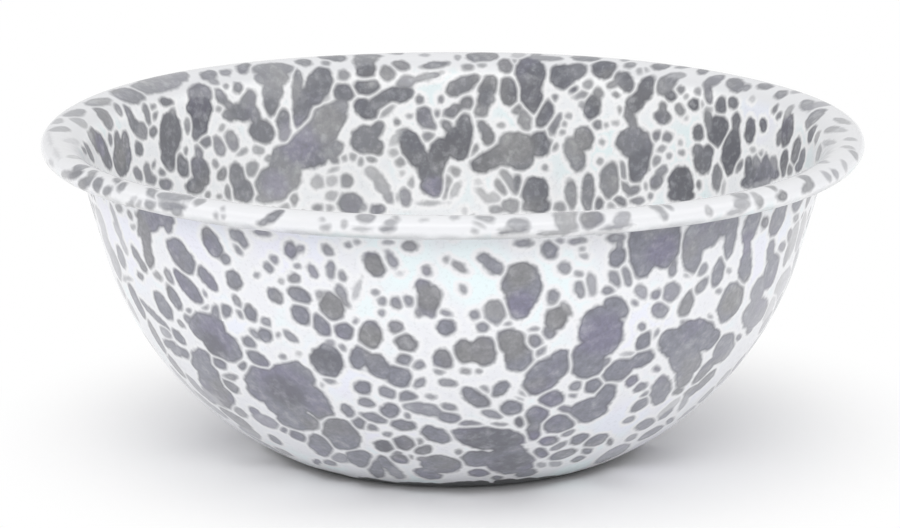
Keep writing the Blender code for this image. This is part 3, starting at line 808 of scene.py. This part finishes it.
class Splatter:
    """All the drops of one piece, with a test that keeps new drops clear of the ones before."""

    def __init__(self, piece, drops):
        self.piece = piece
        self.drops = []
        self.centres = np.empty((MOST_DROPS, 3))
        self.inverses = np.empty((MOST_DROPS, 2, 3))
        for drop in drops:
            if drop.piece == piece:
                self.add(drop)

    def add(self, drop):
        self.centres[len(self.drops)] = drop.centre
        self.inverses[len(self.drops)] = drop.inverse
        self.drops.append(drop)

    def overlaps(self, drop):
        """How far a drop overlaps each of the others, and the smaller of their reaches towards each other."""
        count = len(self.drops)
        ways = self.centres[:count] - drop.centre
        distances = np.linalg.norm(ways, axis=1) + TINY
        ways = ways / distances[:, None]
        own = 1.0 / np.maximum(np.linalg.norm(ways @ drop.inverse.T, axis=1), 1.0 / MOST_REACH)
        towards = np.linalg.norm(np.einsum("nij,nj->ni", self.inverses[:count], ways), axis=1)
        others = 1.0 / np.maximum(towards, 1.0 / MOST_REACH)
        return own + others - distances, np.minimum(own, others)

    def clear(self, drop, gap):
        """Whether a drop stays clear of every other by a gap."""
        overlap, _ = self.overlaps(drop)
        return bool((overlap < -gap).all())

    def pools(self):
        """A pool number for each drop: drops that overlap deeply run together into one pool."""
        pool = np.arange(len(self.drops))
        for number, drop in enumerate(self.drops):
            overlap, reach = self.overlaps(drop)
            joined = np.flatnonzero(overlap > JOIN_SHARE * reach)
            numbers = np.unique(np.append(pool[joined], pool[number]))
            pool[np.isin(pool, numbers)] = numbers[0]
        return pool


def surface_places(piece, distance, first, last, rng, count):
    """Random places on a face of the bowl, even by area, between two stations of the centre line."""
    stations = fine_line[first:last]
    edge = np.array(face(stations, distance))
    middle = (edge[1:] + edge[:-1]) / 2
    step = np.linalg.norm(edge[1:] - edge[:-1], axis=1)
    weight = middle[:, 0] * step
    choices = rng.choice(len(middle), size=count, p=weight / weight.sum())
    side = 1.0 if distance > 0 else -1.0
    places = []
    for i in choices:
        angle = rng.uniform(0.0, math.tau)
        heading = stations[i][2]
        out = Vector((math.cos(angle), math.sin(angle), 0.0))
        around = Vector((-math.sin(angle), math.cos(angle), 0.0))
        radius, height = middle[i].tolist()
        centre = radius * out + Vector((0.0, 0.0, height))
        along = math.cos(heading) * out + Vector((0.0, 0.0, math.sin(heading)))
        normal = side * (-math.sin(heading) * out + Vector((0.0, 0.0, math.cos(heading))))
        places.append((piece, centre, normal, along, around))
    return places


def nudged(place, along_step, around_step):
    """A place moved a little over the surface, unless the surface there faces another way."""
    piece, centre, normal, along, around = place
    moved, new_normal, _, _ = tree.find_nearest(centre + along_step * along + around_step * around)
    if new_normal.dot(normal) < LOBE_FACING:
        return place
    return piece, moved, normal, along, around


def random_drop(place, half_length, half_width, turn, tone):
    """A drop at a random place, turned from the way up the wall."""
    piece, centre, normal, along, around = place
    long_axis = half_length * (math.cos(turn) * along + math.sin(turn) * around)
    short_axis = half_width * (math.cos(turn) * around - math.sin(turn) * along)
    return Drop(piece, centre, normal, long_axis, short_axis, tone)


def fill(splatter, distance, first, last, rng):
    """Fills what the photo does not show of a face with random drops, some of them merged into pools."""
    for tries, least, most, stretch, lobes, gap in FILL_SIZES:
        for place in surface_places(splatter.piece, distance, first, last, rng, tries):
            if seen(place[1]):
                continue
            half_width = rng.uniform(least, most) * MM
            pool = []
            for _ in range(lobes):
                along_step = half_width * rng.normal(0.0, LOBE_SPREAD_ALONG)
                around_step = half_width * rng.normal(0.0, LOBE_SPREAD_AROUND)
                own_width = half_width * rng.uniform(*LOBE_WIDTHS)
                own_length = own_width * rng.uniform(1.0, stretch)
                turn = rng.normal(0.0, LOBE_TURN)
                tone = rng.uniform(*LOBE_TONES)
                drop = random_drop(nudged(place, along_step, around_step), own_length, own_width, turn, tone)
                if splatter.clear(drop, gap * MM) and out_of_sight(drop):
                    pool.append(drop)
            for drop in pool:
                splatter.add(drop)


def rim_streaks(splatter, distance, first, last, rng):
    """Short pale streaks that run over the rolled rim where the photo does not show it."""
    for place in surface_places(splatter.piece, distance, first, last, rng, STREAK_TRIES):
        if seen(place[1]):
            continue
        half_width = rng.uniform(*STREAK_HALF_WIDTHS) * MM
        half_length = half_width * rng.uniform(*STREAK_STRETCH)
        turn = rng.normal(*STREAK_TURN)
        drop = random_drop(place, half_length, half_width, turn, rng.uniform(*STREAK_TONES))
        if splatter.clear(drop, STREAK_GAP) and out_of_sight(drop):
            splatter.add(drop)


# Splatter: drops from the photo where it shows the bowl, and random ones elsewhere
photo_drops = []
for drop_list, list_tone in HAND_READ:
    photo_drops += [photo_drop(list_tone, *values) for values in drop_list]
photo_drops = [drop for drop in photo_drops if drop is not None]
rng = np.random.default_rng(SEED)
neck_station = next(i for i, station in enumerate(fine_line) if station[1] > HEIGHT - STREAK_DEPTH)
inside_splatter = Splatter(inside_enamel, photo_drops)
outside_splatter = Splatter(outside_enamel, photo_drops)
rim_streaks(inside_splatter, COVER_HIGH, neck_station, len(fine_line), rng)
fill(inside_splatter, COVER_HIGH, 0, neck_station, rng)
fill(outside_splatter, -COVER_HIGH, 0, neck_station, rng)


def corner_layout(mesh):
    """The place and the face of each corner, and the middles of the faces."""
    points = np.empty(len(mesh.vertices) * 3)
    mesh.vertices.foreach_get("co", points)
    vertex = np.empty(len(mesh.loops), dtype=np.int32)
    mesh.loops.foreach_get("vertex_index", vertex)
    total = np.empty(len(mesh.polygons), dtype=np.int32)
    mesh.polygons.foreach_get("loop_total", total)
    middles = np.empty(len(mesh.polygons) * 3)
    mesh.polygons.foreach_get("center", middles)
    owner = np.repeat(np.arange(len(mesh.polygons)), total)
    return points.reshape(-1, 3)[vertex], owner, middles.reshape(-1, 3)


def drop_coordinates(places, centres, normals, inverses):
    """Where places lie in the frames of drops, with the edge at 1, and the millimetres per unit there."""
    least = 1e-6
    way = places - centres
    flat = way - (way * normals).sum(axis=1, keepdims=True) * normals
    stretch = np.linalg.norm(way, axis=1) / np.maximum(np.linalg.norm(flat, axis=1), TINY)
    flat = flat * stretch[:, None]
    local = np.einsum("nij,nj->ni", inverses, flat)
    length = np.maximum(np.linalg.norm(local, axis=1), least)
    slope = np.linalg.norm(np.einsum("ni,nij->nj", local, inverses), axis=1) / length
    return np.column_stack((local, 1.0 / np.maximum(slope, least) / MM))


def drops_by_face(middles, drops):
    """For each face, the numbers of the drops nearest to it, or -1."""
    finder = KDTree(len(middles))
    for i, middle in enumerate(middles):
        finder.insert(middle, i)
    finder.balance()
    found_faces = []
    found_drops = []
    found_distances = []
    for number, drop in enumerate(drops):
        near = [index for _, index, _ in finder.find_range(drop.centre, drop.reach + DROP_MARGIN)]
        if not near:
            continue
        near = np.array(near)
        repeat = len(near)
        local = drop_coordinates(
            middles[near],
            np.tile(drop.centre, (repeat, 1)),
            np.tile(drop.normal, (repeat, 1)),
            np.tile(drop.inverse, (repeat, 1, 1)),
        )
        distance = (np.linalg.norm(local[:, :2], axis=1) - 1.0) * local[:, 2] * MM
        close = distance < DROP_MARGIN
        found_faces.append(near[close])
        found_drops.append(np.full(close.sum(), number))
        found_distances.append(distance[close])
    faces = np.concatenate(found_faces)
    numbers = np.concatenate(found_drops)
    order = np.lexsort((np.concatenate(found_distances), faces))
    faces = faces[order]
    numbers = numbers[order]
    first = np.concatenate(([0], np.flatnonzero(np.diff(faces)) + 1))
    rank = np.arange(len(faces)) - np.repeat(first, np.diff(np.concatenate((first, [len(faces)]))))
    table = np.full((len(middles), DROPS_KNOWN), -1)
    kept = rank < DROPS_KNOWN
    table[faces[kept], rank[kept]] = numbers[kept]
    return table


def pool_order(table, pool):
    """The drops of each face with those of one pool side by side, and which ones join the drop before."""
    rows = np.where(table < 0, -1 - np.arange(DROPS_KNOWN), pool[table])
    first = (rows[:, :, None] == rows[:, None, :]).argmax(axis=2)
    order = np.argsort(first * DROPS_KNOWN + np.arange(DROPS_KNOWN), axis=1)
    rows = np.take_along_axis(rows, order, axis=1)
    joins = np.zeros(rows.shape)
    joins[:, 1:] = rows[:, 1:] == rows[:, :-1]
    return np.take_along_axis(table, order, axis=1), joins


def store(mesh, name, vectors):
    """Stores a vector for each corner of a mesh."""
    attribute = mesh.attributes.new(name, "FLOAT_VECTOR", "CORNER")
    attribute.data.foreach_set("vector", vectors.ravel())


def write_splatter(splatter):
    """Stores where each corner of the mesh lies in the frames of the drops near its face, and their looks."""
    mesh = splatter.piece.data
    places, owner, middles = corner_layout(mesh)
    table, joins = pool_order(drops_by_face(middles, splatter.drops), splatter.pools())
    centres = np.array([drop.centre for drop in splatter.drops])
    normals = np.array([drop.normal for drop in splatter.drops])
    inverses = np.array([drop.inverse for drop in splatter.drops])
    tones = np.array([drop.tone for drop in splatter.drops])
    for known in range(DROPS_KNOWN):
        number = table[owner, known]
        values = drop_coordinates(places, centres[number], normals[number], inverses[number])
        values[number < 0] = NO_DROP
        store(mesh, f"drop_{known}", values)
    for group in range(0, DROPS_KNOWN, VECTOR_PARTS):
        parts = slice(group, group + VECTOR_PARTS)
        store(mesh, f"tones_{group}", tones[table[owner, parts]])
        store(mesh, f"joins_{group}", joins[owner, parts])


write_splatter(inside_splatter)
write_splatter(outside_splatter)


class Nodes:
    """Short calls for making and joining shader nodes."""

    def __init__(self, node_tree):
        self.node_tree = node_tree
        node_tree.nodes.clear()

    def add(self, kind, *values, **settings):
        """A node with settings, and with values on its first sockets."""
        node = self.node_tree.nodes.new(kind)
        for name, value in settings.items():
            setattr(node, name, value)
        for socket, value in zip(node.inputs, values):
            self.put(socket, value)
        return node

    def put(self, socket, value):
        """Joins a socket to another, or sets its constant value."""
        if isinstance(value, bpy.types.NodeSocket):
            self.node_tree.links.new(value, socket)
        else:
            socket.default_value = value

    def math(self, operation, *values):
        return self.add("ShaderNodeMath", *values, operation=operation).outputs[0]

    def vector(self, operation, *values):
        node = self.add("ShaderNodeVectorMath", *values, operation=operation)
        return node.outputs["Value" if operation in ("LENGTH", "DISTANCE") else "Vector"]

    def parts(self, vector):
        """The three numbers of a vector."""
        return self.add("ShaderNodeSeparateXYZ", vector).outputs

    def ramp(self, value, low, high, first=0.0, last=1.0):
        """A smooth step from first to last while a value goes from low to high."""
        node = self.add("ShaderNodeMapRange", value, low, high, first, last, interpolation_type="SMOOTHSTEP")
        return node.outputs["Result"]

    def mix(self, share, first, second):
        """A colour between two colours, whose sockets on the node have the numbers 6, 7 and 2."""
        node = self.add("ShaderNodeMix", share, data_type="RGBA")
        self.put(node.inputs[6], first)
        self.put(node.inputs[7], second)
        return node.outputs[2]

    def blend(self, share, first, second):
        """A number between two numbers, whose sockets on the node have the numbers 2, 3 and 0."""
        node = self.add("ShaderNodeMix", share, data_type="FLOAT")
        self.put(node.inputs[2], first)
        self.put(node.inputs[3], second)
        return node.outputs[0]

    def layer(self, colour, tint, value, start, full, share=1.0):
        """A colour with a tint over it while a value goes from start to full."""
        return self.mix(self.ramp(value, start, full, 0.0, share), colour, tint)

    def noise(self, place, size, detail=2.0, output="Fac"):
        """Noise with grains of about a size in metres."""
        node = self.add("ShaderNodeTexNoise")
        self.put(node.inputs["Vector"], place)
        self.put(node.inputs["Scale"], 1.0 / size)
        self.put(node.inputs["Detail"], detail)
        return node.outputs[output]

    def place(self):
        """The place on the object."""
        return self.add("ShaderNodeTexCoord").outputs["Object"]

    def straight_on(self):
        """1 for what the camera sees, also in gloss and through glass, and 0 for light on other things."""
        path = self.add("ShaderNodeLightPath")
        share = self.math("MAXIMUM", path.outputs["Is Camera Ray"], path.outputs["Is Glossy Ray"])
        return self.math("MAXIMUM", share, path.outputs["Is Transmission Ray"])

    def finish(self, surface, kind="ShaderNodeOutputMaterial"):
        """Makes a shader the one that is rendered."""
        self.put(self.add(kind).inputs["Surface"], surface)

    def principled(self, colour, roughness):
        """A finished surface of one colour and roughness, whose other sockets can still be set."""
        shader = self.add("ShaderNodeBsdfPrincipled")
        self.put(shader.inputs["Base Color"], colour)
        self.put(shader.inputs["Roughness"], roughness)
        self.finish(shader.outputs["BSDF"])
        return shader


def new_material(name):
    """An empty material and its nodes."""
    material = bpy.data.materials.new(name)
    material.use_nodes = True
    return material, Nodes(material.node_tree)


def split_attributes(nodes, name):
    """The single values of a row of vector attributes."""
    values = []
    for group in range(0, DROPS_KNOWN, VECTOR_PARTS):
        attribute = nodes.add("ShaderNodeAttribute", attribute_name=f"{name}_{group}")
        values += list(nodes.parts(attribute.outputs["Vector"]))
    return values


def drop_distance(nodes, known, wobble):
    """Millimetres to the edge of one of the known drops, negative in the drop."""
    local = nodes.add("ShaderNodeAttribute", attribute_name=f"drop_{known}").outputs["Vector"]
    flat = nodes.vector("MULTIPLY_ADD", local, (1.0, 1.0, 0.0), wobble)
    beyond = nodes.math("SUBTRACT", nodes.vector("LENGTH", flat), 1.0)
    return nodes.math("MULTIPLY", beyond, nodes.parts(local)[2])


def ranked(nodes, near, pool, pool_tone):
    """Distances to the nearest and second nearest pool and the tone of the nearest, with one more pool."""
    nearest, second, tone = near
    nearer = nodes.math("LESS_THAN", pool, nearest)
    second = nodes.math("MINIMUM", second, nodes.math("MAXIMUM", nearest, pool))
    return nodes.math("MINIMUM", nearest, pool), second, nodes.blend(nearer, tone, pool_tone)


def nearest_pools(nodes, wobble):
    """Distances to the nearest and the second nearest pool of drops, and the tone of the nearest."""
    tones = split_attributes(nodes, "tones")
    joins = split_attributes(nodes, "joins")
    near = (FAR_AWAY, FAR_AWAY, 1.0)
    pool = drop_distance(nodes, 0, wobble)
    pool_tone = tones[0]
    for known in range(1, DROPS_KNOWN):
        near = ranked(nodes, near, nodes.blend(joins[known], pool, FAR_AWAY), pool_tone)
        distance = drop_distance(nodes, known, wobble)
        merged = nodes.math("SMOOTH_MIN", pool, distance, JOIN_ROUNDING)
        share = nodes.ramp(nodes.math("SUBTRACT", distance, pool), JOIN_BLEND, -JOIN_BLEND)
        merged_tone = nodes.blend(share, pool_tone, tones[known])
        pool = nodes.blend(joins[known], distance, merged)
        pool_tone = nodes.blend(joins[known], tones[known], merged_tone)
    return ranked(nodes, near, pool, pool_tone)


def splatter_depth(nodes, place):
    """Millimetres from the edge of the nearest pool to its inside, and the tone of that pool."""
    wobble = nodes.noise(place, WOBBLE_SIZE, WOBBLE_DETAIL, "Color")
    wobble = nodes.vector("MULTIPLY", nodes.vector("SUBTRACT", wobble, (0.5, 0.5, 0.5)), WOBBLE)
    nearest, second, tone = nearest_pools(nodes, wobble)
    halfway = nodes.math("MULTIPLY_ADD", nodes.math("SUBTRACT", second, nearest), 0.5, -VEIN_HALF_WIDTH)
    ragged = nodes.noise(place, RAGGED_SIZE, RAGGED_DETAIL)
    ragged = nodes.math("MULTIPLY_ADD", ragged, EDGE_RAGGEDNESS, DROP_SPREAD - EDGE_RAGGEDNESS / 2)
    inwards = nodes.math("SUBTRACT", ragged, nearest)
    return nodes.math("SMOOTH_MIN", inwards, halfway, CORNER_ROUNDING), tone


def near_places(nodes, place, strength, places):
    """A strength that fades out around some places of the photo."""
    share = 0.0
    for x, y, radius in places:
        size = radius * CAMERA_DISTANCE / FOCAL_PIXELS
        distance = nodes.vector("DISTANCE", place, hit(x, y)[1])
        near = nodes.ramp(distance, PLACE_EDGE * size, PLACE_CORE * size, 0.0, strength)
        share = nodes.math("MAXIMUM", near, share)
    return share


def tinted(nodes, place, colour, tints):
    """A colour with tints around some places of the photo."""
    for tint, strength, places in tints:
        colour = nodes.mix(near_places(nodes, place, strength, places), colour, tint)
    return colour


def painted_shade_under_roll(nodes, coordinates):
    """Painted shade in streaks on the underside of the rolled rim, where it faces down."""
    slope = nodes.parts(coordinates.outputs["Normal"])[2]
    streaks = nodes.noise(coordinates.outputs["Object"], ROLL_SHADE_STREAK_SIZE)
    below = nodes.ramp(slope, *ROLL_SHADE_SLOPES)
    return nodes.math("MULTIPLY", below, nodes.ramp(streaks, *ROLL_SHADE_SHARES))


def foot_ground_and_contact_shade(nodes, coordinates):
    """A wavy dark line on the edge that the bowl stands on: the dark ground coat where the white enamel ends,
    and painted contact shadow.
    """
    place = coordinates.outputs["Object"]
    line = nodes.math("MULTIPLY_ADD", nodes.noise(place, FOOT_WAVE_SIZE), FOOT_WAVE, FOOT_LINE)
    line = nodes.math("ADD", line, near_places(nodes, place, FOOT_RISE, FOOT_PLACES))
    above = nodes.math("SUBTRACT", nodes.parts(place)[2], line)
    radius = nodes.vector("LENGTH", nodes.vector("MULTIPLY", place, (1.0, 1.0, 0.0)))
    below = nodes.ramp(above, FOOT_SOFTNESS, -FOOT_SOFTNESS)
    return nodes.math("MULTIPLY", below, nodes.ramp(radius, *FOOT_RING))


def grey_enamel(nodes, place, look, depth, clouds, swirl, grain):
    """The grey of the drops: clouds of purple and warm grey, tints of their own and darker places that are
    partly painted shade, pale and dark mottling, and a dark edge.
    """
    mottle = nodes.noise(place, MOTTLE_SIZE)
    grey = nodes.layer(look.grey, GREY_PURPLE, clouds[0], *GREY_CLOUDS, look.purple)
    grey = nodes.layer(grey, GREY_WARM, clouds[1], *GREY_CLOUDS, WARM_SHARE)
    grey = tinted(nodes, place, grey, GREY_TINTS)
    grey = nodes.layer(grey, look.white, swirl, *PALE_SWIRLS)
    grey = nodes.layer(grey, OUTLINE, swirl, *DARK_SWIRLS)
    grey = nodes.layer(grey, look.white, mottle, *PALE_MOTTLES, PALE_SHARE * look.mottling)
    grey = nodes.layer(grey, OUTLINE, mottle, *DARK_MOTTLES, look.mottling)
    grey = nodes.layer(grey, OUTLINE, depth, *DARK_EDGES)
    return nodes.layer(grey, OUTLINE, grain, *DARK_GRAINS)


def white_enamel(nodes, place, look, depth, clouds, grain):
    """The white between the drops: cyan clouds and tints, lavender painted shade, a halo around the drops,
    and painted shade that dulls the rim.
    """
    white = nodes.layer(look.white, WHITE_CYAN, clouds[2], *CYAN_CLOUDS)
    white = tinted(nodes, place, white, WHITE_TINTS)
    white = nodes.layer(look.halo, white, depth, *HALO_DEPTHS)
    white = nodes.layer(white, GREY_WARM, grain, *GREY_GRAINS)
    return nodes.layer(white, WHITE_ROLL_SHADED, nodes.parts(place)[2], *ROLL_SHADE_HEIGHTS)


def splatter_material(name, look, ground_and_shade_mask):
    """Glossy white enamel with grey drops and pools, parted by thin white veins."""
    material, nodes = new_material(name)
    coordinates = nodes.add("ShaderNodeTexCoord")
    place = coordinates.outputs["Object"]
    depth, tone = splatter_depth(nodes, place)
    cover = nodes.math("MULTIPLY", nodes.ramp(depth, -EDGE_SOFTNESS, EDGE_SOFTNESS), tone)
    clouds = nodes.parts(nodes.noise(place, CLOUD_SIZE, output="Color"))
    swirl = nodes.noise(place, SWIRL_SIZE, SWIRL_DETAIL)
    grain = nodes.noise(place, GRAIN_SIZE)
    grey = grey_enamel(nodes, place, look, depth, clouds, swirl, grain)
    white = white_enamel(nodes, place, look, depth, clouds, grain)
    # Painted shade under the rim inside, and at the foot the ground coat with painted contact shadow, mixed
    # in as a dark colour
    enamel = nodes.mix(ground_and_shade_mask(nodes, coordinates), nodes.mix(cover, white, grey), DARK_GROUND_AND_SHADE)
    shader = nodes.principled(enamel, nodes.ramp(swirl, *ENAMEL_GLOSS))
    bump = nodes.add("ShaderNodeBump")
    nodes.put(bump.inputs["Strength"], BUMP_STRENGTH)
    nodes.put(bump.inputs["Distance"], BUMP_HEIGHT)
    dimples = nodes.noise(place, DIMPLE_SIZE, DIMPLE_DETAIL)
    nodes.put(bump.inputs["Height"], nodes.math("ADD", nodes.math("MULTIPLY", cover, DROP_RELIEF), dimples))
    nodes.put(shader.inputs["Normal"], bump.outputs["Normal"])
    return material


def steel_material():
    """Pressed steel sheet with a mottled surface."""
    material, nodes = new_material("pressed_steel")
    mottle = nodes.noise(nodes.place(), STEEL_GRAIN, STEEL_DETAIL)
    shader = nodes.principled(nodes.mix(mottle, STEEL_DARK, STEEL_PALE), nodes.ramp(mottle, *STEEL_GLOSS))
    nodes.put(shader.inputs["Metallic"], 1.0)
    return material


def ground_material():
    """Dark first coat of enamel, with fine bubbles."""
    material, nodes = new_material("ground_enamel")
    bubbles = nodes.noise(nodes.place(), GROUND_GRAIN)
    nodes.principled(nodes.mix(bubbles, GROUND_DARK, GROUND_PALE), nodes.ramp(bubbles, *GROUND_GLOSS))
    return material


# Materials on the pieces
# The inside gets painted shade under the rolled rim, the outside a dark line at the foot that is ground coat
# and painted contact shadow
inside_enamel.data.materials.append(splatter_material("splatter_enamel_inside", INSIDE, painted_shade_under_roll))
outside_enamel.data.materials.append(splatter_material("splatter_enamel_outside", OUTSIDE, foot_ground_and_contact_shade))
steel = steel_material()
ground = ground_material()
for layer in hidden_layers:
    layer.data.materials.append(steel if layer.name == "steel_sheet" else ground)


def add_floor():
    """A pale floor that fades to the white of the background away from the bowl."""
    half = FLOOR_SIZE / 2
    mesh = bpy.data.meshes.new("floor")
    corners = [(-half, -half, 0.0), (half, -half, 0.0), (half, half, 0.0), (-half, half, 0.0)]
    mesh.from_pydata(corners, [], [(0, 1, 2, 3)])
    floor = bpy.data.objects.new("floor", mesh)
    bpy.context.scene.collection.objects.link(floor)
    material, nodes = new_material("floor")
    far = nodes.ramp(nodes.vector("DISTANCE", nodes.place(), SHADOW_MIDDLE), SHADOW_START, SHADOW_END)
    diffuse = nodes.add("ShaderNodeBsdfDiffuse", FLOOR_COLOUR)
    glow = nodes.add("ShaderNodeEmission")
    share = nodes.math("MULTIPLY", far, nodes.straight_on())
    mixer = nodes.add("ShaderNodeMixShader", share, diffuse.outputs["BSDF"], glow.outputs["Emission"])
    nodes.finish(mixer.outputs["Shader"])
    mesh.materials.append(material)


def add_world():
    """Even white light from all round. The camera and reflections see plain white."""
    world = bpy.data.worlds.new("studio")
    bpy.context.scene.world = world
    world.use_nodes = True
    nodes = Nodes(world.node_tree)
    background = nodes.add("ShaderNodeBackground")
    nodes.put(background.inputs["Strength"], nodes.blend(nodes.straight_on(), WORLD_LIGHT, 1.0))
    nodes.finish(background.outputs["Background"], "ShaderNodeOutputWorld")


def add_softbox(name, place, width, depth, power):
    """A soft lamp that faces the bowl."""
    light = bpy.data.lights.new(name, "AREA")
    light.shape = "RECTANGLE"
    light.size = width
    light.size_y = depth
    light.energy = power
    softbox = bpy.data.objects.new(name, light)
    softbox.location = place
    softbox.rotation_euler = (SOFTBOX_AIM - Vector(place)).to_track_quat("-Z", "Y").to_euler()
    bpy.context.scene.collection.objects.link(softbox)


def add_camera():
    """The camera at the photo's angle."""
    camera_data = bpy.data.cameras.new("camera")
    camera_data.sensor_fit = "HORIZONTAL"
    camera_data.sensor_width = SENSOR_WIDTH
    camera_data.lens = FOCAL_PIXELS / PHOTO_WIDTH * SENSOR_WIDTH
    camera_data.clip_start = CAMERA_NEAREST
    camera = bpy.data.objects.new("camera", camera_data)
    camera.location = CAMERA_PLACE
    camera.rotation_euler = (math.pi / 2 - CAMERA_ELEVATION, 0.0, 0.0)
    bpy.context.scene.collection.objects.link(camera)
    bpy.context.scene.camera = camera


# Floor, light and camera
add_floor()
add_world()
for softbox_values in SOFTBOXES:
    add_softbox(*softbox_values)
add_camera()
bpy.context.scene.view_settings.view_transform = "Standard"
